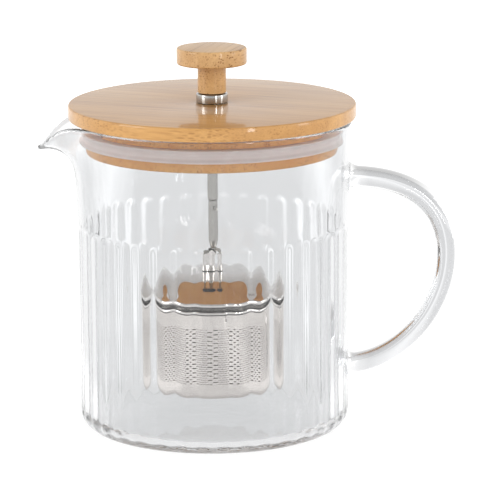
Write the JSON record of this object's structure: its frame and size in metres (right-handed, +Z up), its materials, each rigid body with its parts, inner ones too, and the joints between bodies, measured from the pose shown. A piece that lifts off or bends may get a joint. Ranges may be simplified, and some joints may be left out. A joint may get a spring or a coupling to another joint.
{
  "type": "glass teapot",
  "caption": "Fluted cylindrical glass teapot with a pulled spout, looped glass handle, flat bamboo lid and a steel tea infuser on a sliding rod.",
  "frame": {"origin": "centre of the flat base, on the pot's axis", "axes": "+Z up along the pot's axis, +X towards the handle, -X towards the spout"},
  "size_m": [0.1712, 0.1168, 0.1563],
  "materials": {
    "glass": "clear borosilicate, smooth inside, fluted outside",
    "bamboo": "fine straight grain under satin lacquer",
    "silicone": "translucent off-white, soft sheen",
    "polished_steel": "mirror-polished stainless steel",
    "brushed_steel": "satin stainless steel with etched holes",
    "fastener_steel": "plain turned stainless steel"
  },
  "bodies": {
    "pot": {"glass_body": "glass", "glass_handle": "glass"},
    "lid": {"lid_disc": "bamboo", "lid_plug": "bamboo", "silicone_seal": "silicone", "guide_bush": "polished_steel", "rod_grip_ring": "silicone", "bush_washer": "fastener_steel", "bush_nut": "fastener_steel"},
    "plunger": {"knob": "bamboo", "knob_insert": "fastener_steel", "push_rod": "polished_steel", "coupling_pin": "polished_steel"},
    "infuser": {"hanger_tube": "polished_steel", "stem_tube": "polished_steel", "cap_dome": "polished_steel", "cap_skirt": "brushed_steel", "cap_washer": "fastener_steel", "cap_nut": "fastener_steel"},
    "basket": {"basket_wall": "brushed_steel", "basket_rim": "brushed_steel", "basket_floor": "brushed_steel"}
  },
  "joints": [
    {"name": "lid_lift", "type": "slide", "parent": "pot", "child": "lid", "axis": [0, 0, 1], "range_m": [0, 0.125]},
    {"name": "rod_raise", "type": "slide", "parent": "lid", "child": "plunger", "axis": [0, 0, 1], "range_m": [0, 0.04]},
    {"name": "infuser_turn", "type": "hinge", "parent": "plunger", "child": "infuser", "pos_m": [0, 0, 0.0904], "axis": [0, 0, -1], "range_deg": [0, 60]},
    {"name": "basket_twist", "type": "hinge", "parent": "infuser", "child": "basket", "pos_m": [0, 0, 0.05], "axis": [0, 0, 1], "range_deg": [0, 20]}
  ]
}
